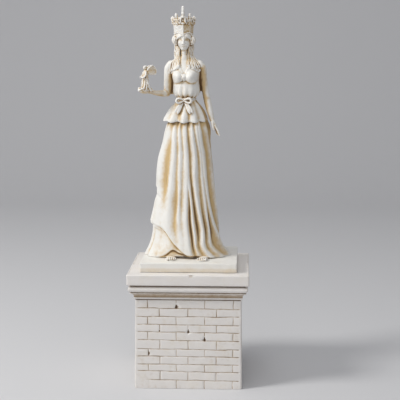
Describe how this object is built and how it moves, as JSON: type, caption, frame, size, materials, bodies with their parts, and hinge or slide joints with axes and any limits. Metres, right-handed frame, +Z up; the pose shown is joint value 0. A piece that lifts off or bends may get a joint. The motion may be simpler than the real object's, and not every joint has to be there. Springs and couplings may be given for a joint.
{
  "type": "statue on pedestal",
  "caption": "Draped goddess with a flared crown, a small winged figure on her palm, standing on a slab and a brick-faced pedestal.",
  "frame": {"origin": "middle of the pedestal's underside", "axes": "+Z up, -Y towards the viewer who faces the goddess, +X to that viewer's right"},
  "size_m": [0.1278, 0.1278, 0.3998],
  "materials": {
    "chalky_resin": "Cast resin with a chalky, faintly grained skin, a thin beige-brown wash left in the brick joints and under the cap.",
    "ivory_resin": "Cast resin in ivory, satin on the raised places, with an ochre-brown wash left in the folds, hair and crown."
  },
  "bodies": {
    "root": {"brick_pedestal": "chalky_resin", "goddess_with_slab": "ivory_resin"}
  },
  "joints": []
}
